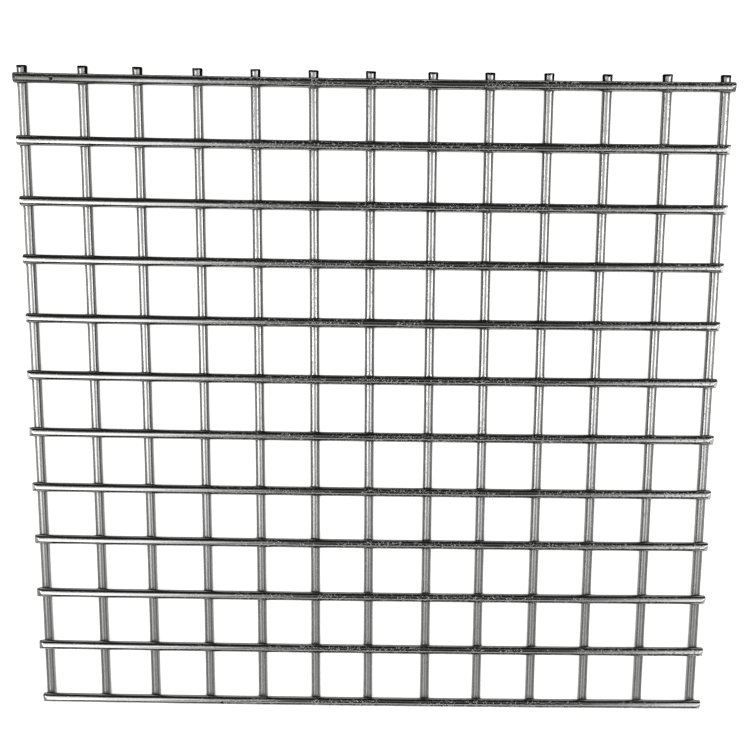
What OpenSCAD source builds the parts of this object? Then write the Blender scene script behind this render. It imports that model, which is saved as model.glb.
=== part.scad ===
// Welded wire mesh panel: round wires laid in two layers, line wires below and
// cross wires above, resistance-welded into one piece at every crossing.
// Millimetres. The panel lies flat, +Z up. The origin is under its middle, on the
// plane that it rests on. Line wires run along Y and cross wires along X.

/* [Wire] */
// Diameter of the wire, across the flats of its section
wire_d = 4; // [3:0.5:6]
// Sides of the wire's section, which give it a flat above and below
wire_sides = 12; // [8:4:12]

/* [Mesh] */
// Number of line wires, the lower layer
line_count = 13; // [2:1:16]
// Number of cross wires, the upper layer
cross_count = 12; // [2:1:16]
// Spacing of the line wires, centre to centre
line_pitch = 25; // [15:1:50]
// Spacing of the cross wires, centre to centre
cross_pitch = 25; // [15:1:50]

/* [Overhangs] */
// Line wires' length past the even place of the cross wire at the back
back_stub = 6.5; // [3:0.5:25]
// Line wires' length past the even place of the cross wire at the front
front_stub = 3; // [3:0.5:25]
// Cross wires' length past the even place of the line wire on the left
left_stub = 3; // [3:0.5:25]
// Cross wires' length past the even place of the line wire on the right
right_stub = 4.5; // [3:0.5:25]

/* [Cut ends] */
// Length of the flat that the cutter pressed on each end of a cross wire
pinch_run = 3; // [1:0.5:4]
// Depth of that flat at the very end
pinch_depth = 0.8; // [0.3:0.1:1.5]
// How far that flat is turned from the top of the wire towards the front
pinch_roll = 25; // [0:5:60]
// Length of the bevel on the upper side of a line wire's ends
bevel_run = 0.6; // [0.3:0.1:1.5]
// Depth of that bevel at the very end
bevel_depth = 1; // [0.3:0.1:1.5]

/* [Welds] */
// How far the two layers sink into each other at a weld
set_down = 0.8; // [0.4:0.1:1.2]
// Height of the metal squeezed out round a weld
collar_h = 1; // [0.8:0.1:1.4]
// Width of that metal as a share of the wire's diameter
collar_share = 0.9; // [0.7:0.05:1]

/* [Hidden] */

// How far each wire was welded from its even place, in order along +X or from
// the back edge to the front. A wire past the end of a list takes 0.
line_drift = [0.5, 1, -0.5, 0, -0.5, -0.5, -1, 0.5, 0, 0, 0, 0.5, 0.5];
cross_drift = [0.5, 0, 0, 0, 0, 0, -0.5, -0.5, 0.5, 0.5, 0.5, -0.5];
// How much shorter than its stub each wire was cropped by hand, in the same order
back_trim = [0, 0, 0, 0.5, 0.5, 0.5, 0.5, 0.5, 0.5, 0.5, 0.5, 0.5, 0.5];
left_trim = [1, 1, 1, 1.5, 1.5, 0.5, 0.5, 0.5, 0.5, 0, 0, 0.5];
right_trim = [1, 1.5, 1, 1.5, 1.5, 1, 1, 1, 0.5, 0.5, 0, 0];

collar_sides = 4;
cutter_margin = 1;
wire_r = wire_d / 2;
line_z = wire_r;
cross_z = line_z + wire_d - set_down;
weld_z = (line_z + cross_z) / 2;
line_length = front_stub + (cross_count - 1) * cross_pitch + back_stub;
cross_length = left_stub + (line_count - 1) * line_pitch + right_stub;
left_wire_x = left_stub - cross_length / 2;
back_wire_y = line_length / 2 - back_stub;

function own(list, i) = i < len(list) ? list[i] : 0;
function line_x(i) = left_wire_x + i * line_pitch + own(line_drift, i);
function cross_y(j) = back_wire_y - j * cross_pitch + own(cross_drift, j);

// A straight bar along +Z, with a flat facing +X and another facing -X.
module bar(length, across_flats, sides) {
    rotate([0, 0, 180 / sides])
        cylinder(h = length, d = across_flats / cos(180 / sides), $fn = sides, center = true);
}

// What the cutter takes off the -X side of a wire that ends at z = 0: a slope that
// starts on its surface at z = -run and is depth below the surface at z = 0.
module end_cut(run, depth) {
    outer_x = -wire_r - cutter_margin;
    slope = depth / run;
    rotate([90, 0, 0])
        linear_extrude(height = 2 * wire_d, center = true)
            polygon([
                [outer_x, -run - cutter_margin / slope],
                [depth - wire_r + cutter_margin * slope, cutter_margin],
                [outer_x, cutter_margin]
            ]);
}

// A wire along Z from low to high with the same cut on both ends, turned by roll
// about the wire.
module wire(low, high, run, depth, roll) {
    length = high - low;
    translate([0, 0, (low + high) / 2])
        difference() {
            bar(length, wire_d, wire_sides);
            for (end = [0, 1])
                mirror([0, 0, end])
                    translate([0, 0, length / 2])
                        rotate([0, 0, roll])
                            end_cut(run, depth);
        }
}

module line_wire(i) {
    translate([line_x(i), 0, line_z])
        rotate([90, 90, 0])
            wire(
                own(back_trim, i) - line_length / 2,
                line_length / 2,
                bevel_run, bevel_depth, 0
            );
}

module cross_wire(j) {
    translate([0, cross_y(j), cross_z])
        rotate([0, 90, 0])
            wire(
                own(left_trim, j) - cross_length / 2,
                cross_length / 2 - own(right_trim, j),
                pinch_run, pinch_depth, pinch_roll
            );
}

// The metal squeezed out round one weld, filling the notch between its wires.
module weld_collar(i, j) {
    translate([line_x(i), cross_y(j), weld_z])
        bar(collar_h, collar_share * wire_d, collar_sides);
}

module welded_mesh() {
    color("silver")
        union() {
            for (i = [0 : line_count - 1])
                line_wire(i);
            for (j = [0 : cross_count - 1])
                cross_wire(j);
            for (i = [0 : line_count - 1], j = [0 : cross_count - 1])
                weld_collar(i, j);
        }
}

welded_mesh();
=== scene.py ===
"""Looks of a welded wire mesh panel: bright zinc-coated wires on a white table.

The panel lies flat as it is packed. Thirteen line wires run along Y in the lower
layer and twelve cross wires run along X on top of them, welded at every crossing.
Sizes here are in millimetres unless a name says otherwise, and meshes are in metres.
"""

import logging
import math
from dataclasses import dataclass, field
from enum import Enum
from typing import Any, Optional, Union

import bmesh
import bpy
import numpy as np
from numpy.typing import NDArray
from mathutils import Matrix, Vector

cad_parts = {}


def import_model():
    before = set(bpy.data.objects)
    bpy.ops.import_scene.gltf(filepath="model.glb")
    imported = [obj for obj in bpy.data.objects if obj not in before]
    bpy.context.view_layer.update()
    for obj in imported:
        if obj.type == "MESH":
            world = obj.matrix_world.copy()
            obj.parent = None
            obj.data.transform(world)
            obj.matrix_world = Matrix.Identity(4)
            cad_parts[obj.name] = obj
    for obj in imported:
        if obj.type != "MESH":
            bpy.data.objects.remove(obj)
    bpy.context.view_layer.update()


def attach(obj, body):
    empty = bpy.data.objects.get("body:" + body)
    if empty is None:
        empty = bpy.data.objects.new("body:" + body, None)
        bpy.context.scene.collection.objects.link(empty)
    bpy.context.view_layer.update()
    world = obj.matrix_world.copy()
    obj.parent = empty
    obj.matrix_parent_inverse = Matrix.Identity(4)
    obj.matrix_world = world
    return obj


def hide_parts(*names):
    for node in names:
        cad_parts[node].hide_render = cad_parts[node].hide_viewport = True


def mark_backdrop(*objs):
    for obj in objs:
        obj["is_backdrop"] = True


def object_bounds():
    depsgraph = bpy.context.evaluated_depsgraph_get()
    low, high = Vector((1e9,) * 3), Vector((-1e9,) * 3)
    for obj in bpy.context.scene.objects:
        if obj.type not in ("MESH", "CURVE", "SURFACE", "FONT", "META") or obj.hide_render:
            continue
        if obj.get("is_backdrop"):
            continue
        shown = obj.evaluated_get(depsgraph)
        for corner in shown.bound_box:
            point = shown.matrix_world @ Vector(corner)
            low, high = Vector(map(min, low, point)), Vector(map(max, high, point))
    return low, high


Array = NDArray[np.float64]
Pair = tuple[float, float]
Triple = tuple[float, float, float]
Colour = tuple[float, float, float, float]
PerWire = tuple[float, ...]
MM = 0.001
# A distance in millimetres that no point of a wire's skin reaches.
NO_LIMIT = 1e3
NODE = "welded_mesh"
BODY = "root"

log = logging.getLogger("wire_mesh_panel")


def ramp(values: Array, edge: float, width: float) -> Array:
    """0 below edge, rising evenly to 1 at edge + width."""
    return np.clip((values - edge) / width, 0.0, 1.0)


def bell(values: Array, width: float) -> Array:
    """1 where a value is 0, falling to 1/e at width to either side: exp(-(value / width)^2)."""
    return np.exp(-((values / width) ** 2))


def put(
    name: str, data: Union[bpy.types.Mesh, bpy.types.Camera, bpy.types.Light]
) -> bpy.types.Object:
    """Makes an object of a mesh, a camera or a light, and puts it into the scene."""
    made = bpy.data.objects.new(name, data)
    bpy.context.scene.collection.objects.link(made)
    return made


class Layer(Enum):
    """Which of the two crossing layers a wire lies in."""

    LINE = "line_wire"
    CROSS = "cross_wire"


# Sizes


@dataclass(frozen=True)
class Panel:
    """Where every wire of the panel lies, as it was packed.

    Attributes:
        wire_d: Diameter of the wire.
        pitch: Spacing of the wires, centre to centre, both ways.
        set_down: How far the two layers sink into each other at a weld.
        stubs: Wire past the even place of the outer wire: back, front, left, right.
        line_drift: How far each line wire was welded from its even place.
        cross_drift: The same for the cross wires, from the back to the front.
        back_trim: How much shorter than its stub each line wire was cropped.
        left_trim: The same for the cross wires' left ends.
        right_trim: The same for the cross wires' right ends.
        bow: How far the cross wires' ends lie behind their middles.
        bow_middle: X of the place where they bow furthest.
        bow_half: Distance from there at which the bow is measured.
    """

    wire_d: float = 4.0
    pitch: float = 25.0
    set_down: float = 0.8
    stubs: tuple[float, float, float, float] = (6.5, 3.0, 3.0, 4.5)
    line_drift: PerWire = (
        0.3, 1.1, -0.6, 0.0, -0.3, -0.5, -1.1, 0.5, -0.2, 0.0, -0.2, 0.5, 0.4,
    )
    cross_drift: PerWire = (
        0.4, -0.1, -0.2, 0.2, -0.1, -0.1, -0.5, -0.5, 0.4, 0.4, 0.4, -0.3,
    )
    back_trim: PerWire = (
        0.0, 0.0, 0.2, 0.4, 0.5, 0.6, 0.7, 0.8, 0.7, 0.6, 0.7, 0.4, 0.4,
    )
    left_trim: PerWire = (0.8, 1.1, 1.2, 1.4, 1.4, 0.6, 0.3, 0.4, 0.4, 0.2, 0.0, 0.7)
    right_trim: PerWire = (0.8, 1.4, 1.2, 1.3, 1.4, 1.2, 1.1, 0.9, 0.8, 0.6, 0.2, 0.0)
    bow: float = 0.5
    bow_middle: float = 15.0
    bow_half: float = 150.0

    @property
    def radius(self) -> float:
        """Radius of the wire."""
        return self.wire_d / 2

    @property
    def line_z(self) -> float:
        """Height of the line wires' centres."""
        return self.radius

    @property
    def cross_z(self) -> float:
        """Height of the cross wires' centres."""
        return self.line_z + self.wire_d - self.set_down

    @property
    def line_length(self) -> float:
        """Length of a line wire."""
        back, front, _, _ = self.stubs
        return back + (len(self.cross_drift) - 1) * self.pitch + front

    @property
    def cross_length(self) -> float:
        """Length of a cross wire."""
        _, _, left, right = self.stubs
        return left + (len(self.line_drift) - 1) * self.pitch + right

    def bowed(self, x: Array) -> Array:
        """How far back a cross wire lies from its straight place.

        Args:
            x: Place along the wire.

        Returns:
            A parabola about bow_middle, less a third of its height, so that the wire
            keeps its straight place on average.
        """
        return self.bow * (((x - self.bow_middle) / self.bow_half) ** 2 - 1 / 3)

    def line_x(self) -> Array:
        """X of each line wire's centre, from left to right."""
        even = np.arange(len(self.line_drift)) * self.pitch
        return self.stubs[2] - self.cross_length / 2 + even + np.array(self.line_drift)

    def cross_y(self) -> Array:
        """Y of each cross wire's centre, from the back to the front."""
        even = np.arange(len(self.cross_drift)) * self.pitch
        return self.line_length / 2 - self.stubs[0] - even + np.array(self.cross_drift)


@dataclass(frozen=True)
class EndCut:
    """The flat that a cutter leaves on one side of a wire's end.

    Attributes:
        run: Length of the flat along the wire.
        depth: Depth of the flat under the surface at the very end.
        roll: Turn of the flat from the top of the wire, in degrees.
        pale: How pale the bared metal is, from 0 to 1.
        least_facing: Least cosine of the angle from the flat at which it still cuts.
    """

    run: float
    depth: float
    roll: float
    pale: float = 0.0
    least_facing: float = 0.05

    def limit(self, inset: Array, around: Array, radius: float) -> Array:
        """How far from the wire's middle the surface may lie under this flat.

        The flat is a plane: its distance from the middle, measured square to the
        wire, is radius - depth at the end and grows by depth / run along the wire.
        A direction that is turned by a from the flat's own meets it at that distance
        divided by cos(a).

        Args:
            inset: Distance of each point from the wire's end.
            around: Angle of each point round the wire, 0 at the top.
            radius: Radius of the wire.

        Returns:
            The limit at each point, very large where the flat faces away.
        """
        reach = radius - self.depth + inset * self.depth / self.run
        facing = np.cos(around - math.radians(self.roll))
        limit = reach / np.maximum(facing, self.least_facing)
        return np.where(facing > self.least_facing, limit, NO_LIMIT)


# Wires


@dataclass(frozen=True)
class Waves:
    """Slow waves in the radius of a drawn wire.

    Attributes:
        count: Number of the waves.
        lengths: Shortest and longest of them.
        height: Height of each.
    """

    count: int = 4
    lengths: Pair = (14.0, 60.0)
    height: float = 0.008

    def dip(self, rng: np.random.Generator, along: Array, around: Array) -> Array:
        """How far the skin lies under the wire's full radius.

        Each wave is a sine of the place along the wire, turned a little more round
        the wire than the one before. Its height is added to it, so that the wire is
        nowhere over its full size.

        Args:
            rng: Source of the waves' lengths and starts.
            along: Place along the wire.
            around: Angle round the wire.

        Returns:
            The dip at each point.
        """
        dip = np.zeros_like(along)
        for order in range(1, self.count + 1):
            length = rng.uniform(*self.lengths)
            start = rng.uniform(0, math.tau)
            dip += self.height * (1 + np.sin(math.tau * along / length + order * around + start))
        return dip


@dataclass(frozen=True)
class Flash:
    """The metal squeezed out beside each weld.

    Attributes:
        height: Its greatest height.
        least: Least height that a weld's own may have, as a share of that.
        start: Where it is highest along the wire, as a share of the wire's radius.
        reach: How far it fades from there along the wire.
        turn: Where it is highest round the wire, in radians from the other layer.
        spread: How far it fades round the wire, in radians.
        contrast: How sharply one side's height gives way to the other's.
    """

    height: float = 0.24
    least: float = 0.55
    start: float = 0.85
    reach: float = 0.55
    turn: float = 0.95
    spread: float = 0.5
    contrast: float = 4.0

    def ridge(
        self, rng: np.random.Generator, welds: Array, along: Array, around: Array, radius: float
    ) -> Array:
        """Height of the squeezed-out metal over the wire's skin.

        The ridge is highest just outside the other wire's edge. It fades along the
        wire, and towards the side that faces away from the weld. Each weld has four
        heights of its own, for both sides of both wires' edges.

        Args:
            rng: Source of the heights.
            welds: Places of the welds along the wire.
            along: Place of each point along the wire.
            around: Angle round the wire, 0 at the side that faces the other layer.
            radius: Radius of the wire.

        Returns:
            The height at each point.
        """
        heights = self.height * rng.uniform(self.least, 1.0, (len(welds), 2, 2))
        side = np.clip(np.sin(around) * self.contrast, -1, 1) * 0.5 + 0.5
        facing = bell(np.abs(around) - self.turn, self.spread)
        ridge = np.zeros_like(along)
        for weld, height in zip(welds, heights):
            offset = along - weld
            outside = np.maximum(np.abs(offset) - self.start * radius, 0.0)
            before = height[0, 0] * (1 - side) + height[0, 1] * side
            after = height[1, 0] * (1 - side) + height[1, 1] * side
            ridge += bell(outside, self.reach) * facing * np.where(offset < 0, before, after)
        return ridge


@dataclass(frozen=True)
class Tip:
    """The flared stub of a line wire past its outer weld, with painted shade on its sides.

    Attributes:
        side: Sine of the angle from the top at which the painted shade on the sides starts.
        side_width: How much more of it the painted shade takes to darken fully.
        start: Distance from the weld at which the painted shade starts.
        start_width: How much further along it is fully dark.
        flare: How much wider the wire is at its back end, as a share.
        flare_reach: How far the flare fades along the wire.
    """

    side: float = 0.45
    side_width: float = 0.2
    start: float = 1.8
    start_width: float = 0.4
    flare: float = 0.07
    flare_reach: float = 1.3

    def dark(self, past: Array, around: Array) -> Array:
        """1 where shade is painted on the sides of the stubs, and 0 elsewhere.

        Args:
            past: Distance of each point past the outer weld.
            around: Angle round the wire, 0 at the top.

        Returns:
            The share at each point.
        """
        sides = ramp(np.abs(np.sin(around)), self.side, self.side_width)
        return sides * ramp(past, self.start, self.start_width)

    def widening(self, inset: Array) -> Array:
        """The share by which the wire is wider, by the distance from its back end."""
        return 1 + self.flare * bell(np.maximum(inset, 0.0), self.flare_reach)


@dataclass
class Skin:
    """A wire's skin as rings of points, with what the finish has to know of them.

    Attributes:
        points: Place of each point, as (rings, sides, 3), in metres.
        unrolled: Length and girth of each point, in metres, with one more point in
            each ring, where the ring closes.
        cut: 1 where a point lies on a cut, and also where shade is painted on the sides of a line wire's
            stubs; 0 elsewhere.
        pale: How pale the cut is there.
    """

    points: Array
    unrolled: Array
    cut: Array
    pale: Array


@dataclass
class Wire:
    """One straight drawn wire with its weld flash and its two cut ends.

    Attributes:
        name: Name of the piece.
        layer: The layer that the wire lies in.
        panel: The panel's sizes.
        offset: Where the wire lies across its layer.
        welds: Places of the welds along the wire, rising.
        span: Lowest and highest place of the wire's ends along itself.
        cuts: The cut at the low end and at the high end.
        seed: Seed of the wire's own small differences.
        waves: The slow waves of the drawn wire.
        flash: The metal squeezed out beside its welds.
        tip: The stubs of a line wire.
        sides: Number of faces round the wire.
        rolled: Width of the wire as a share of its height.
        worn: How dull the coating is at the left, from 0 to 1.
        worn_from: X at which that wear starts.
        worn_width: How much further left it is full.
        worn_least: Share of it that the rest of the wire has.
        near_step: Distance of the rings at the welds.
        near_half: How far from a weld they reach.
        far_step: Distance of the rings between them.
        least_step: Least distance between two rings.
        end_steps: Distances of the first rings from a cut end.
        closing: Sizes of the rings that close an end, as shares.
        cut_reach: Distance from an end up to which its cut can reach.
        cut_blend: Depth under the skin at which a cut shows in full.
        edge_height: How much the cut's sharp edge is rounded off.
        edge_reach: How far that fades along the wire.
        torn: Roughness of the sheared end face.
        torn_seed: What is added to the seed for that.
        face_pale: How pale the sheared end faces are, from 0 to 1.
    """

    name: str
    layer: Layer
    panel: Panel
    offset: float
    welds: Array
    span: Pair
    cuts: tuple[EndCut, EndCut]
    seed: int
    waves: Waves = Waves()
    flash: Flash = Flash()
    tip: Tip = Tip()
    sides: int = 24
    rolled: float = 1.05
    worn: float = 0.0
    worn_from: float = -85.0
    worn_width: float = 45.0
    worn_least: float = 0.12
    near_step: float = 0.45
    near_half: float = 4.05
    far_step: float = 3.4
    least_step: float = 0.04
    end_steps: tuple[float, ...] = (0.0, 0.06, 0.16, 0.32, 0.55, 0.85, 1.2, 1.6, 2.1, 2.6, 3.2)
    closing: tuple[float, ...] = (0.0, 0.35, 0.7, 0.93)
    cut_reach: float = 6.0
    cut_blend: float = 0.08
    edge_height: float = 0.10
    edge_reach: float = 0.12
    torn: float = 0.05
    torn_seed: int = 5000
    face_pale: float = 0.5

    @property
    def lower(self) -> bool:
        """Whether the wire lies in the lower layer."""
        return self.layer is Layer.LINE

    def stations(self) -> Array:
        """Places of the rings along the wire, close together at welds and ends."""
        low, high = self.span
        near = np.arange(-self.near_half, self.near_half + self.least_step, self.near_step)
        at_welds = (self.welds[:, None] + near[None, :]).ravel()
        steps = np.array(self.end_steps)
        dense = np.concatenate([at_welds, low + steps, high - steps])
        gaps = np.arange(low, high, self.far_step)
        clear = np.min(np.abs(gaps[:, None] - dense[None, :]), axis=1) > self.far_step / 2
        every = np.sort(np.concatenate([dense, gaps[clear]]))
        every = every[(every >= low) & (every <= high)]
        return every[np.concatenate([[True], np.diff(every) > self.least_step])]

    def swell(self, along: Array, around: Array) -> Array:
        """Radius of the uncut wire's skin.

        Args:
            along: Place along the wire.
            around: Angle round the wire, 0 at the top.

        Returns:
            The radius at each point.
        """
        rng = np.random.default_rng(self.seed)
        facing = around if self.lower else around - np.pi
        facing = (facing + np.pi) % (2 * np.pi) - np.pi
        dip = self.waves.dip(rng, along, facing)
        ridge = self.flash.ridge(rng, self.welds, along, facing, self.panel.radius)
        return self.panel.radius - dip + ridge

    def crop(self, along: Array, around: Array, radius: Array) -> tuple[Array, Array]:
        """Cuts both ends' flats into the skin, and rounds their edges off.

        Args:
            along: Place along the wire.
            around: Angle round the wire, 0 at the top.
            radius: Radius of the uncut skin.

        Returns:
            The radius of the cut skin, and 1 where a point lies on a cut.
        """
        low, high = self.span
        cut = np.zeros_like(radius)
        for inset, end in ((along - low, self.cuts[0]), (high - along, self.cuts[1])):
            inside = np.maximum(inset, 0.0)
            limit = end.limit(inside, around, self.panel.radius)
            limit = np.where(inset < self.cut_reach, limit, NO_LIMIT)
            cut = np.maximum(cut, ramp(radius - limit, 0.0, self.cut_blend))
            radius = np.minimum(radius, limit) - self.edge_height * bell(inside, self.edge_reach)
        return radius, cut

    def place(self, along: Array, around: Array, radius: Array) -> Array:
        """Places of the skin's points in the panel.

        Args:
            along: Place along the wire.
            around: Angle round the wire, 0 at the top.
            radius: Radius of the skin.

        Returns:
            X, Y and Z of each point, none of them under or over the panel.
        """
        across = self.offset + self.rolled * radius * np.sin(around)
        middle = self.panel.line_z if self.lower else self.panel.cross_z
        height = middle + radius * np.cos(around)
        height = np.clip(height, 0.0, self.panel.cross_z + self.panel.radius)
        if self.lower:
            return np.stack([across, along, height], axis=-1)
        return np.stack([along, across + self.panel.bowed(along), height], axis=-1)

    def skin(self) -> Skin:
        """The wire's skin.

        A ring at place s is a circle of the skin's radius about the wire's centre.
        Each end is closed by rings that shrink to the middle on the sheared face.

        Returns:
            The skin, with each ring's length along the wire as it was before the end
            faces were torn.
        """
        low, high = self.span
        count = len(self.closing)
        rings = np.concatenate([np.full(count, low), self.stations(), np.full(count, high)])
        scale = np.ones((len(rings), 1))
        scale[:count, 0] = self.closing
        scale[-count:, 0] = self.closing[::-1]
        face = scale < 1.0
        turn = np.linspace(0, 2 * np.pi, self.sides, endpoint=False)
        along, around = np.meshgrid(rings, turn, indexing="ij")
        radius, cut = self.crop(along, around, self.swell(along, around))
        if self.lower:
            past = np.maximum(self.welds[0] - along, along - self.welds[-1])
            # Painted shade on the sides of a line wire's stubs joins the cut mark and takes its
            # near-black colour.
            cut = np.maximum(cut, self.tip.dark(past, around))
            radius = radius * self.tip.widening(high - along)
        rng = np.random.default_rng(self.seed + self.torn_seed)
        torn = rng.normal(0.0, self.torn, radius.shape) * face
        torn[0], torn[-1] = torn[0].mean(), torn[-1].mean()
        along = along + np.where(along < 0, 1, -1) * np.abs(torn)
        girth = np.concatenate([turn, [2 * np.pi]]) * self.panel.radius
        unrolled = np.stack(np.meshgrid(rings, girth, indexing="ij"), axis=-1)
        pale = np.where(along < (low + high) / 2, self.cuts[0].pale, self.cuts[1].pale)
        return Skin(
            points=self.place(along, around, radius * scale) * MM,
            unrolled=unrolled * MM,
            cut=np.maximum(cut, face),
            pale=np.where(face, self.face_pale, pale),
        )

    def build(self) -> bpy.types.Object:
        """Makes the wire's mesh and object.

        Each face has four corners: two neighbours on one ring, and the same two on
        the next ring. The finish reads its marks from attributes of the points.

        Returns:
            The wire, at the origin, with its place in its mesh.
        """
        skin = self.skin()
        rings, sides, _ = skin.points.shape
        ring, side = np.meshgrid(np.arange(rings - 1), np.arange(sides), indexing="ij")
        corner_ring = np.stack([ring, ring, ring + 1, ring + 1], axis=-1)
        corner_side = np.stack([side, side + 1, side + 1, side], axis=-1)
        if not self.lower:
            corner_ring, corner_side = corner_ring[..., ::-1], corner_side[..., ::-1]
        faces = (corner_ring * sides + corner_side % sides).reshape(-1, 4)
        mesh = bpy.data.meshes.new(self.name)
        mesh.from_pydata(skin.points.reshape(-1, 3).tolist(), [], faces.tolist())
        layer = mesh.uv_layers.new(name="unrolled")
        unrolled = skin.unrolled[corner_ring, corner_side]
        layer.data.foreach_set("uv", unrolled.astype(np.float32).ravel())
        leftward = (self.worn_from - skin.points[..., 0] / MM) / self.worn_width
        marks = {
            "cut": skin.cut,
            "pale": skin.pale,
            "lower": np.full_like(skin.cut, float(self.lower)),
            "worn": self.worn * np.clip(leftward, self.worn_least, 1.0),
        }
        for name, values in marks.items():
            mark = mesh.attributes.new(name, "FLOAT", "POINT")
            mark.data.foreach_set("value", values.astype(np.float32).ravel())
        mesh.polygons.foreach_set("use_smooth", np.ones(len(mesh.polygons), bool))
        merge_ends(mesh)
        mesh.update()
        return put(self.name, mesh)


def merge_ends(mesh: bpy.types.Mesh, distance: float = 1e-6) -> None:
    """Merges the points that fall together in the middles of a wire's end faces.

    Args:
        mesh: The wire's mesh, changed in place.
        distance: How close together merged points lie, in metres.
    """
    work = bmesh.new()
    work.from_mesh(mesh)
    bmesh.ops.remove_doubles(work, verts=work.verts, dist=distance)
    bmesh.ops.recalc_face_normals(work, faces=work.faces)
    work.to_mesh(mesh)
    work.free()


@dataclass
class WireLayer:
    """All the wires of one layer.

    Attributes:
        panel: The panel's sizes.
        layer: Which layer this is.
        line_cut: The bevel on a line wire's ends.
        pinch: The flat on a cross wire's ends.
        left_pale: How pale each cross wire's left end is, from the back to the front.
        right_pale: The same for the right ends.
        left_pinch: Share of the flat's depth on each left end.
        right_pinch: The same for the right ends.
        left_turn: How much less the flats of the left ends are turned.
        run_share: Least and greatest length of an end's flat, as shares.
        depth_share: The same for its depth.
        roll_off: Least and greatest turn that is added to it, in degrees.
        back_worn: How dull the coating of the cross wire at the back is.
        line_seed: Seed of the line wires' small differences.
        cross_seed: Seed of the cross wires' small differences.
        seed_count: Number that every wire's own seed stays under.
    """

    panel: Panel
    layer: Layer
    line_cut: EndCut = EndCut(run=1.2, depth=1.0, roll=0.0)
    pinch: EndCut = EndCut(run=2.1, depth=0.8, roll=-20.0)
    left_pale: PerWire = (0.1, 0.95, 0.95, 0.95, 0.85, 0.8, 0.7, 0.7, 0.5, 0.4, 0.4, 0.4)
    right_pale: PerWire = (0.25, 1.0, 1.0, 1.0, 0.9, 0.8, 0.7, 0.7, 0.65, 0.6, 0.65, 0.6)
    left_pinch: PerWire = (0.6, 0.2, 0.2, 0.3, 0.5, 1.1, 1.2, 1.2, 1.2, 1.3, 1.3, 1.2)
    right_pinch: PerWire = (0.6, 1.3, 1.3, 1.3, 1.1, 1.0, 1.0, 1.0, 1.0, 1.0, 1.0, 1.0)
    left_turn: float = 15.0
    run_share: Pair = (0.8, 1.15)
    depth_share: Pair = (0.85, 1.1)
    roll_off: Pair = (-10.0, 10.0)
    back_worn: float = 0.85
    line_seed: int = 41
    cross_seed: int = 83
    seed_count: int = 10_000

    def wires(self) -> list[Wire]:
        """The layer's wires, in order from the left or from the back."""
        line_x, cross_y = self.panel.line_x(), self.panel.cross_y()
        lower = self.layer is Layer.LINE
        rng = np.random.default_rng(self.line_seed if lower else self.cross_seed)
        if lower:
            places, welds, half = line_x, np.sort(cross_y), self.panel.line_length / 2
            spans = [(-half, half - back) for back in self.panel.back_trim]
        else:
            places, welds, half = cross_y, np.sort(line_x), self.panel.cross_length / 2
            trims = zip(self.panel.left_trim, self.panel.right_trim)
            spans = [(left - half, half - right) for left, right in trims]
        return [
            Wire(
                name=f"{self.layer.value}_{index + 1:02d}",
                layer=self.layer,
                panel=self.panel,
                offset=float(place),
                welds=welds,
                span=span,
                cuts=(self.cut(rng, index, 0), self.cut(rng, index, 1)),
                seed=int(rng.integers(1, self.seed_count)),
                worn=0.0 if lower or index else self.back_worn,
            )
            for index, (place, span) in enumerate(zip(places, spans))
        ]

    def cut(self, rng: np.random.Generator, index: int, end: int) -> EndCut:
        """One end's cut, a little unlike the others.

        Args:
            rng: Source of the small differences.
            index: Number of the wire in its layer.
            end: 0 for the low end and 1 for the high end.

        Returns:
            The cut.
        """
        base, share, pale, turned = self.line_cut, 1.0, 0.0, 0.0
        if self.layer is Layer.CROSS:
            base = self.pinch
            share = (self.left_pinch, self.right_pinch)[end][index]
            turned = (self.left_turn, 0.0)[end]
            pale = (self.left_pale, self.right_pale)[end][index]
        return EndCut(
            run=base.run * rng.uniform(*self.run_share),
            depth=base.depth * share * rng.uniform(*self.depth_share),
            roll=base.roll + turned + rng.uniform(*self.roll_off),
            pale=pale,
        )

    def build(self, finish: "ZincFinish") -> list[bpy.types.Object]:
        """Builds and dresses every wire of the layer.

        Args:
            finish: The finish that all wires share.

        Returns:
            The finished pieces.
        """
        made = []
        for wire in self.wires():
            piece = wire.build()
            piece.data.materials.append(finish.material())
            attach(piece, BODY)
            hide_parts(NODE)
            log.info("%s: %d faces", piece.name, len(piece.data.polygons))
            made.append(piece)
        return made


# Finish

Operand = Union["Value", float]


class Value:
    """A shader socket that can be used in arithmetic, one Math node for each step."""

    def __init__(self, shader: "Shader", socket: bpy.types.NodeSocket) -> None:
        """Wraps a socket of a shader."""
        self.shader, self.socket = shader, socket

    def _math(self, operation: str, first: Operand, second: Operand) -> "Value":
        """Adds one Math node with the given operation."""
        return self.shader.node("ShaderNodeMath", {"operation": operation}, {0: first, 1: second})

    def __add__(self, other: Operand) -> "Value":
        """Sum."""
        return self._math("ADD", self, other)

    def __radd__(self, other: Operand) -> "Value":
        """Sum with a number first."""
        return self._math("ADD", other, self)

    def __sub__(self, other: Operand) -> "Value":
        """Difference."""
        return self._math("SUBTRACT", self, other)

    def __rsub__(self, other: Operand) -> "Value":
        """Difference from a number."""
        return self._math("SUBTRACT", other, self)

    def __mul__(self, other: Operand) -> "Value":
        """Product."""
        return self._math("MULTIPLY", self, other)

    def __rmul__(self, other: Operand) -> "Value":
        """Product with a number first."""
        return self._math("MULTIPLY", other, self)

    def __truediv__(self, other: Operand) -> "Value":
        """Quotient."""
        return self._math("DIVIDE", self, other)

    def __abs__(self) -> "Value":
        """Size without its sign."""
        return self._math("ABSOLUTE", self, 0.0)

    def cosine(self) -> "Value":
        """Cosine of an angle in radians."""
        return self._math("COSINE", self, 0.0)

    def sine(self) -> "Value":
        """Sine of an angle in radians."""
        return self._math("SINE", self, 0.0)

    def above(self, edge: float, width: float) -> "Value":
        """0 below edge, rising smoothly to 1 at edge + width."""
        settings = {"interpolation_type": "SMOOTHSTEP"}
        return self.shader.node(
            "ShaderNodeMapRange", settings, {0: self, 1: edge, 2: edge + width, 3: 0.0, 4: 1.0}
        )


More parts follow.
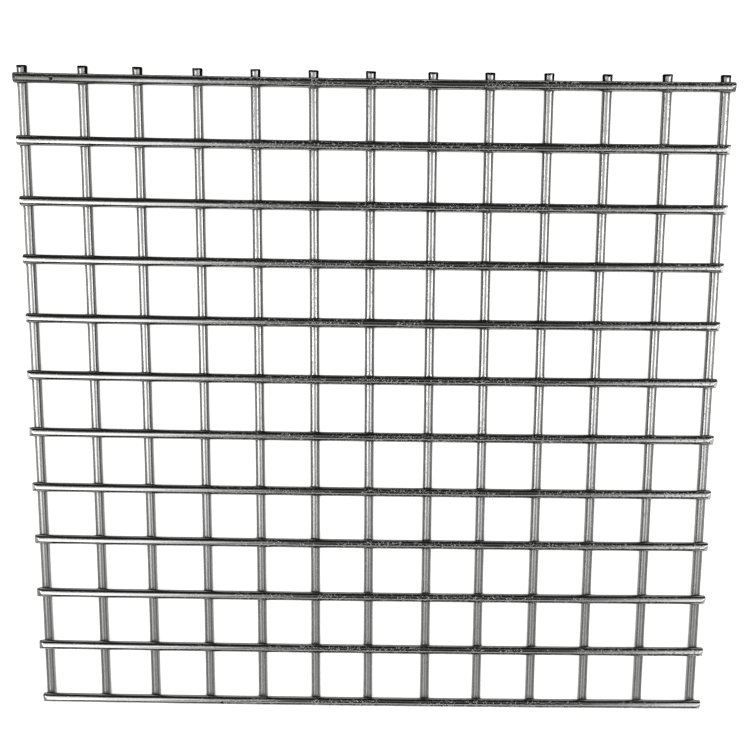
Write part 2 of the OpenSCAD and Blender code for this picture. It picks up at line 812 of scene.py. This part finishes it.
class Shader:
    """The node tree of one material, or of the world, built by plain calls."""

    def __init__(self, owner: Union[bpy.types.Material, bpy.types.World]) -> None:
        """Empties the tree of a new material or world."""
        owner.use_nodes = True
        self.owner = owner
        self.tree = owner.node_tree
        self.tree.nodes.clear()

    @classmethod
    def material(cls, name: str) -> "Shader":
        """Starts a new material of that name."""
        return cls(bpy.data.materials.new(name))

    def backdrop(self) -> Value:
        """1 where the camera, a reflection or clear matter looks, and 0 for plain light."""
        kinds = ("Is Camera Ray", "Is Glossy Ray", "Is Transmission Ray")
        camera, glossy, through = [self.node("ShaderNodeLightPath", output=kind) for kind in kinds]
        return camera + glossy + through

    def node(
        self,
        kind: str,
        settings: Optional[dict[str, Any]] = None,
        sockets: Optional[dict[Union[int, str], Any]] = None,
        output: Union[int, str] = 0,
    ) -> Value:
        """Adds a node, sets it up and links it.

        Args:
            kind: The node's type.
            settings: Properties of the node.
            sockets: Values, colours or wrapped sockets for the node's inputs.
            output: The output that is handed back.

        Returns:
            The wrapped output socket.
        """
        made = self.tree.nodes.new(kind)
        for key, value in (settings or {}).items():
            setattr(made, key, value)
        for key, value in (sockets or {}).items():
            target = made.inputs[key]
            if isinstance(value, Value):
                self.tree.links.new(value.socket, target)
            else:
                target.default_value = value
        return Value(self, made.outputs[output] if made.outputs else None)

    def axis(self, vector: Value, index: int) -> Value:
        """X, Y or Z of a vector, by its number from 0."""
        return self.node("ShaderNodeSeparateXYZ", sockets={0: vector}, output=index)

    def glow(self, strength: Operand) -> Value:
        """White light of one strength."""
        return self.node("ShaderNodeEmission", sockets={"Color": grey(1.0), "Strength": strength})

    def show(self, surface: Value) -> None:
        """Makes a shader the surface of the material."""
        self.node("ShaderNodeOutputMaterial", sockets={"Surface": surface})

    def mix(self, factor: Any, first: Any, second: Any, blend: str = "MIX") -> Value:
        """Mixes two colours by a factor.

        Args:
            factor: Share of the second colour.
            first: First colour.
            second: Second colour.
            blend: How they are mixed.

        Returns:
            The mixed colour.
        """
        settings = {"data_type": "RGBA", "blend_type": blend}
        return self.node("ShaderNodeMix", settings, {0: factor, 6: first, 7: second}, output=2)


def grey(level: float) -> Colour:
    """A neutral colour of one level."""
    return (level, level, level, 1.0)


@dataclass(frozen=True)
class Relief:
    """Heights of the coating's relief, in millimetres.

    Attributes:
        nodules: Height of the nodules.
        lines: Height of the draw lines.
        line_lines: What is added to it on the line wires.
        ripple: Height of the slow ripples.
        cut: Height of the grains on a cut.
        worn: Height of the grains where the coating is worn.
        pits: Depth of the pits.
    """

    nodules: float = 0.090
    lines: float = 0.004
    line_lines: float = 0.010
    ripple: float = 0.012
    cut: float = 0.05
    worn: float = 0.03
    pits: float = 0.3


@dataclass(frozen=True)
class Roughness:
    """Roughness of the clean zinc, and what is added to it by each mark.

    Attributes:
        clean: Roughness of the clean zinc.
        nodules: Added on the nodules.
        lines: Added by the draw lines.
        cut: Added on the cuts.
        worn: Added where the coating is worn.
        front: Added on the line wires at the front.
    """

    clean: float = 0.13
    nodules: float = 0.12
    lines: float = 0.05
    cut: float = 0.25
    worn: float = 0.12
    front: float = 0.12


@dataclass(frozen=True)
class Steps:
    """The smooth steps of the finish: where each one starts, and how wide it is.

    Attributes:
        crown: From the painted shade of the flank to the crown, by the cosine of the angle from the top.
        flank: From the painted shade of the flank at the front to the one at the back, by its sine.
        shade: From the worn side to the side that keeps its zinc, by the same sine.
        front: From the back of the panel to its front, by -Y in metres.
        speckle: From few nodules at the left to many, by X in metres.
        grain: Peaks of the fine noise that are nodules.
        patch: Where the slow noise lets them be.
        stain: Where the slow noise dulls the zinc.
        pit: From a pit's edge to its floor, by the distance below 0, in metres.
    """

    crown: Pair = (0.68, 0.14)
    flank: Pair = (-0.1, 0.2)
    shade: Pair = (-0.1, 0.5)
    front: Pair = (-0.03, 0.14)
    speckle: Pair = (-0.10, 0.07)
    grain: Pair = (0.56, 0.14)
    patch: Pair = (0.38, 0.18)
    stain: Pair = (0.52, 0.3)
    pit: Pair = (-0.0009, 0.0006)


@dataclass
class ZincFinish:
    """Bright zinc on drawn steel wire, with shade painted darker on the flanks, and rough where it was
    cut.

    Attributes:
        bright: Colour of the clean zinc on the cross wires' crowns.
        line_back: Colour of the line wires' crowns at the back.
        line_front_painted_shade: The same at the front, with painted shade that darkens the crowns
            towards the front.
        back_flank_painted_shade: Painted shade: colour of the cross wires' flanks that face the back.
        front_flank_painted_shade: The same painted shade for the cross wires' flanks that face the
            front.
        line_flank_painted_shade: Painted shade: colour of the line wires' flanks.
        dull: Colour of the oxidised flecks.
        sheared: Colour of the dark cut ends, of the pits, and of the shade painted on the sides of the
            line wires' stubs.
        bared: Colour of the pale cut ends.
        sooty: Colour of the worn stretch of the cross wire at the back.
        edge: Tint of the metal where it is seen at a flat angle.
        front_flank_painted_light: Painted light: share by which the flanks are painted twice as pale at
            the front.
        crown_later: How much later, by its cosine, a line wire's crown starts.
        kept: Share of its zinc that the far side of the worn stretch keeps.
        least_speckle: Share of the nodules that the left of the panel has.
        line_smooth: Share of the nodules that the line wires lack.
        dull_nodules: Share of the dull colour on a nodule.
        dull_patches: Share of the dull colour in a patch.
        bared_matt: How much less metallic a pale cut is.
        line_matt: How much less metallic a line wire is.
        line_scale: Draw lines in a metre, along and round the wire.
        ripple_scale: Ripples in a metre.
        grain_scale: Grains in a metre.
        patch_scale: Patches in a metre.
        girth_radius: Radius of the wire, in metres.
        pits: Places of the dark pits in the coating, in metres.
        relief: Heights of the relief.
        rough: Roughness of the coating.
        steps: Where one tone gives way to another.
        made: The material, once it has been built.
    """

    bright: Colour = (0.62, 0.62, 0.61, 1.0)
    line_back: Colour = (0.80, 0.80, 0.79, 1.0)
    line_front_painted_shade: Colour = (0.36, 0.36, 0.355, 1.0)
    back_flank_painted_shade: Colour = (0.11, 0.11, 0.11, 1.0)
    front_flank_painted_shade: Colour = (0.30, 0.30, 0.295, 1.0)
    line_flank_painted_shade: Colour = (0.19, 0.19, 0.185, 1.0)
    dull: Colour = (0.30, 0.305, 0.30, 1.0)
    sheared: Colour = (0.012, 0.012, 0.012, 1.0)
    bared: Colour = (0.95, 0.95, 0.94, 1.0)
    sooty: Colour = (0.14, 0.135, 0.12, 1.0)
    edge: Colour = (0.12, 0.12, 0.12, 1.0)
    front_flank_painted_light: float = 0.6
    crown_later: float = 0.05
    kept: float = 0.8
    least_speckle: float = 0.15
    line_smooth: float = 0.6
    dull_nodules: float = 0.15
    dull_patches: float = 0.25
    bared_matt: float = 0.9
    line_matt: float = 0.35
    line_scale: Triple = (60.0, 4600.0, 1.0)
    ripple_scale: float = 420.0
    grain_scale: float = 1150.0
    patch_scale: float = 60.0
    girth_radius: float = 0.002
    pits: tuple[Triple, ...] = (
        (-0.1366, 0.1360, 0.0072),
        (-0.0694, -0.1402, 0.0070),
    )
    relief: Relief = Relief()
    rough: Roughness = Roughness()
    steps: Steps = Steps()
    made: Optional[bpy.types.Material] = field(default=None, repr=False)

    def material(self) -> bpy.types.Material:
        """The finish's material, built on first use."""
        if self.made is None:
            self.made = self._build()
        return self.made

    def _build(self) -> bpy.types.Material:
        """Builds the zinc.

        The crown and the flanks, which get painted shade, are told apart by the place
        round the wire: its cosine is 1 at the top and 0 at the sides, and its sine is 1
        at a cross wire's back. Draw lines are a noise that is stretched along the unrolled
        wire, ripples are a slow noise in space, and nodules are the peaks of a finer
        one, kept where a slow noise is high. Heights are in millimetres.

        Returns:
            The material.
        """
        s = Shader.material("bright_zinc")
        steps, rough, relief = self.steps, self.rough, self.relief
        unrolled = s.node("ShaderNodeUVMap", {"uv_map": "unrolled"})
        place = s.node("ShaderNodeTexCoord", output="Object")
        cut, pale, lower, worn = [
            s.node("ShaderNodeAttribute", {"attribute_name": name}, output="Fac")
            for name in ("cut", "pale", "lower", "worn")
        ]
        x, y = s.axis(place, 0), s.axis(place, 1)
        turn = s.axis(unrolled, 1) / self.girth_radius
        lengthwise = s.node("ShaderNodeMapping", sockets={0: unrolled, 3: self.line_scale})
        lines = self.noise(s, lengthwise, 1.0, 4.0)
        ripple = self.noise(s, place, self.ripple_scale, 3.0)
        grains = self.noise(s, place, self.grain_scale, 2.0)
        patches = self.noise(s, place, self.patch_scale, 3.0)
        speckle = x.above(*steps.speckle) * (1.0 - self.least_speckle) + self.least_speckle
        speckle = speckle * (1.0 - lower * self.line_smooth)
        nodules = grains.above(*steps.grain) * patches.above(*steps.patch) * speckle
        pits: Operand = 0.0
        for pit in self.pits:
            away = s.node("ShaderNodeVectorMath", {"operation": "DISTANCE"}, {0: place, 1: pit}, "Value")
            pits = (0.0 - away).above(*steps.pit) + pits

        # Colour, from the clean zinc with painted shade and painted light on it, to the flecks, cuts and
        # pits that lie over it
        front = (0.0 - y).above(*steps.front)
        # Painted shade: the crown keeps the zinc's colour, and the flanks below it are painted darker,
        # the cross wires' back flanks darkest.
        crown = (turn.cosine() - lower * self.crown_later).above(*steps.crown)
        side = s.mix(turn.sine().above(*steps.flank), self.front_flank_painted_shade, self.back_flank_painted_shade)
        side = s.mix(lower, side, self.line_flank_painted_shade)
        # Painted light: the flanks turn paler towards the front.
        side = s.mix(front * self.front_flank_painted_light, side, s.mix(1.0, side, grey(2.0), "MULTIPLY"))
        # Painted shade: the line wires' crowns darken towards the front of the panel.
        top = s.mix(lower, self.bright, s.mix(front, self.line_back, self.line_front_painted_shade))
        zinc = s.mix(crown, side, top)
        zinc = s.mix(worn * (1.0 - turn.sine().above(*steps.shade) * self.kept), zinc, self.sooty)
        stain = patches.above(*steps.stain) * self.dull_patches
        zinc = s.mix(nodules * self.dull_nodules + stain, zinc, self.dull)
        # The cut mark also carries the shade painted on the sides of the line wires' stubs.
        colour = s.mix(cut, zinc, s.mix(pale, self.sheared, self.bared))
        colour = s.mix(pits, colour, self.sheared)

        # Relief and roughness
        height = nodules * relief.nodules + ripple * relief.ripple - pits * relief.pits
        height = height + lines * (relief.lines + lower * relief.line_lines)
        height = height + grains * (cut * relief.cut + worn * relief.worn)
        blur = nodules * rough.nodules + lines * rough.lines
        blur = blur + cut * rough.cut + worn * rough.worn + lower * front * rough.front
        matt = cut * pale * self.bared_matt + lower * (1.0 - cut) * self.line_matt
        bump = s.node("ShaderNodeBump", sockets={"Strength": 1.0, "Distance": MM, "Height": height})
        skin = s.node(
            "ShaderNodeBsdfPrincipled",
            sockets={
                "Base Color": colour,
                "Metallic": 1.0 - matt,
                "Roughness": rough.clean + blur,
                "Specular Tint": self.edge,
                "Normal": bump,
            },
        )
        s.show(skin)
        return s.owner

    @staticmethod
    def noise(s: Shader, place: Value, scale: float, detail: float, finer: float = 0.6) -> Value:
        """A noise of 0 to 1, middling round 0.5.

        Args:
            s: The material.
            place: Where the noise is read.
            scale: Grains in a unit of length.
            detail: How many finer layers it has.
            finer: Strength of each layer, as a share of the one before.

        Returns:
            The noise.
        """
        sockets = {0: place, "Scale": scale, "Detail": detail, "Roughness": finer}
        return s.node("ShaderNodeTexNoise", sockets=sockets)


# Studio


@dataclass(frozen=True)
class SoftWindow:
    """One bright place of the light panel, a rectangle with soft edges.

    Attributes:
        middle: X and Y of its middle, in metres.
        half: Half of its width and depth, to where it is half as bright.
        soft: How far its edges fade, to each side.
        level: Its brightness, where 1 is white.
    """

    middle: Pair
    half: Pair
    soft: float
    level: float

    def brightness(self, x: Value, y: Value) -> Value:
        """The window's brightness at a place of the panel.

        Args:
            x: X of the place.
            y: Y of the place.

        Returns:
            The product of two smooth steps, one of each distance from the middle.
        """
        shares = [
            (half - abs(value - middle)).above(-self.soft, 2 * self.soft)
            for value, middle, half in zip((x, y), self.middle, self.half)
        ]
        return shares[0] * shares[1] * self.level


@dataclass
class Studio:
    """The white table, the light panel, the dark room, the fill lamp and the camera.

    The fill lamp and the world together give a level card a brightness of about 1, at
    which a colour renders about as it is written. The metal reflects the other things.

    Attributes:
        camera_mm: Place of the camera.
        camera_turn: Turn of the camera about X, Y and Z, in degrees.
        lens_mm: Focal length of the camera on its sensor.
        sensor_mm: Width of that sensor.
        shift: Shift of the picture, as a share of its width.
        nearest: Least distance at which the camera sees, in metres.
        table_tone: Tone of the white table.
        table_glow: Light that it adds for the camera and in the metal.
        table_half: Half of its side, in metres.
        panel_half: Half of the light panel's side, in metres.
        panel_height: Its height above the table, in metres.
        room_level: Brightness of the dark room in the metal.
        room_radius: Radius of its dome, in metres.
        room_steps: Faces of its dome, around and up.
        fill_level: Brightness of the fill lamp, of which a level card gets two thirds.
        fill_side: Side of that lamp, in metres.
        fill_height: Its height above the table, in metres.
        world_level: Brightness of the light from all round.
        windows: The bright places of the light panel.
    """

    camera_mm: Triple = (16.31, 41.36, 450.2)
    camera_turn: Triple = (-9.311, -0.104, 0.69)
    lens_mm: float = 48.0
    sensor_mm: float = 36.0
    shift: Pair = (-0.0502, 0.1324)
    nearest: float = 0.01
    table_tone: float = 0.88
    table_glow: float = 0.60
    table_half: float = 6.0
    panel_half: float = 1.2
    panel_height: float = 0.60
    room_level: float = 0.02
    room_radius: float = 2.2
    room_steps: tuple[int, int] = (96, 24)
    fill_level: float = 0.80
    fill_side: float = 5.0
    fill_height: float = 2.0
    world_level: float = 0.48
    windows: tuple[SoftWindow, ...] = (
        SoftWindow((-0.56, 0.07), (0.13, 0.23), 0.10, 3.8),
        SoftWindow((-0.40, -0.42), (0.09, 0.30), 0.12, 2.9),
        SoftWindow((-0.26, -0.05), (0.09, 0.16), 0.09, 1.5),
        SoftWindow((0.61, 0.17), (0.21, 0.19), 0.12, 3.0),
        SoftWindow((0.39, -0.20), (0.10, 0.24), 0.12, 2.0),
        SoftWindow((0.11, -0.59), (0.38, 0.15), 0.09, 0.8),
        SoftWindow((0.07, 0.24), (0.41, 0.08), 0.05, 0.20),
    )

    def build(self) -> None:
        """Makes the camera, the table, the lights and the room."""
        self.camera()
        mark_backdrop(self.table(), self.light_panel(), self.dark_room())
        self.fill_lamp()
        self.world()
        bpy.context.scene.view_settings.view_transform = "Standard"

    def camera(self) -> None:
        """Sets the camera where the photograph was taken from."""
        data = bpy.data.cameras.new("camera")
        data.lens, data.sensor_width = self.lens_mm, self.sensor_mm
        data.shift_x, data.shift_y = self.shift
        data.clip_start = self.nearest
        made = put("camera", data)
        made.location = [v * MM for v in self.camera_mm]
        made.rotation_euler = [math.radians(v) for v in self.camera_turn]
        bpy.context.scene.camera = made

    @staticmethod
    def flat(name: str, half: float, height: float, shader: Shader) -> bpy.types.Object:
        """A level square sheet.

        Args:
            name: Name of the sheet.
            half: Half of its side, in metres.
            height: Its height, in metres.
            shader: Its material.

        Returns:
            The sheet.
        """
        mesh = bpy.data.meshes.new(name)
        square = [(-half, -half), (half, -half), (half, half), (-half, half)]
        mesh.from_pydata([(x, y, height) for x, y in square], [], [(0, 1, 2, 3)])
        mesh.materials.append(shader.owner)
        return put(name, mesh)

    @staticmethod
    def metal_only(made: bpy.types.Object) -> bpy.types.Object:
        """Lets nothing but reflections show an object, and hands it back."""
        made.visible_camera = False
        made.visible_diffuse = False
        made.visible_shadow = False
        made.visible_transmission = False
        return made

    def table(self) -> bpy.types.Object:
        """A large white table top under the panel."""
        s = Shader.material("white_table")
        white = s.node("ShaderNodeBsdfDiffuse", sockets={"Color": grey(self.table_tone)})
        glow = s.glow(s.backdrop() * self.table_glow)
        s.show(s.node("ShaderNodeAddShader", sockets={0: white, 1: glow}))
        return self.flat("table", self.table_half, 0.0, s)

    def light_panel(self) -> bpy.types.Object:
        """The panel over the table, nearly dark but for its bright windows."""
        s = Shader.material("light_panel")
        place = s.node("ShaderNodeTexCoord", output="Object")
        x, y = s.axis(place, 0), s.axis(place, 1)
        level: Operand = self.room_level
        for window in self.windows:
            level = window.brightness(x, y) + level
        s.show(s.glow(level))
        return self.metal_only(self.flat("light_panel", self.panel_half, self.panel_height, s))

    def dark_room(self) -> bpy.types.Object:
        """A dark room round the table that only the metal sees.

        The room is a surface of revolution: a dome whose points lie at one distance
        from the panel, from the table's level up to the point overhead.

        Returns:
            The dome.
        """
        around, up = self.room_steps
        turn = np.linspace(0, 2 * np.pi, around + 1)
        rise = np.linspace(0, np.pi / 2, up + 1)
        a, t = np.meshgrid(turn, rise, indexing="ij")
        points = np.stack([np.cos(a) * np.cos(t), np.sin(a) * np.cos(t), np.sin(t)], axis=-1)
        points = self.room_radius * points
        first = np.arange(around)[:, None] * (up + 1) + np.arange(up)[None, :]
        quads = np.stack([first, first + up + 1, first + up + 2, first + 1], axis=-1).reshape(-1, 4)
        mesh = bpy.data.meshes.new("dark_room")
        mesh.from_pydata(points.reshape(-1, 3).tolist(), [], quads.tolist())
        s = Shader.material("dark_room")
        s.show(s.glow(self.room_level))
        mesh.materials.append(s.owner)
        return self.metal_only(put("dark_room", mesh))

    def fill_lamp(self) -> None:
        """A broad lamp over the table, hidden from the camera and from reflections."""
        data = bpy.data.lights.new("fill_lamp", "AREA")
        data.shape, data.size = "SQUARE", self.fill_side
        data.energy = self.fill_level * math.pi * self.fill_side**2
        made = put("fill_lamp", data)
        made.location = (0.0, 0.0, self.fill_height)
        made.visible_glossy = False
        made.visible_camera = False

    def world(self) -> None:
        """White for the camera and in reflections, and a plain light from all round."""
        s = Shader(bpy.data.worlds.new("room"))
        strength = s.backdrop() * (1.0 - self.world_level) + self.world_level
        shade = s.node("ShaderNodeBackground", sockets={"Color": grey(1.0), "Strength": strength})
        s.node("ShaderNodeOutputWorld", sockets={"Surface": shade})
        bpy.context.scene.world = s.owner


# Run


def corners() -> list[list[float]]:
    """Lowest and highest corner of the shown object, in metres."""
    return [[float(v) for v in corner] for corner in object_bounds()]


def main() -> None:
    """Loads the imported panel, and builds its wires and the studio."""
    logging.basicConfig(level=logging.INFO, format="%(name)s: %(message)s")
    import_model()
    panel = Panel()
    finish = ZincFinish()
    for layer in Layer:
        made = WireLayer(panel, layer).build(finish)
        log.info("%s: %d pieces", layer.value, len(made))
    Studio().build()
    log.info("box %s", corners())


if __name__ == "__main__":
    main()
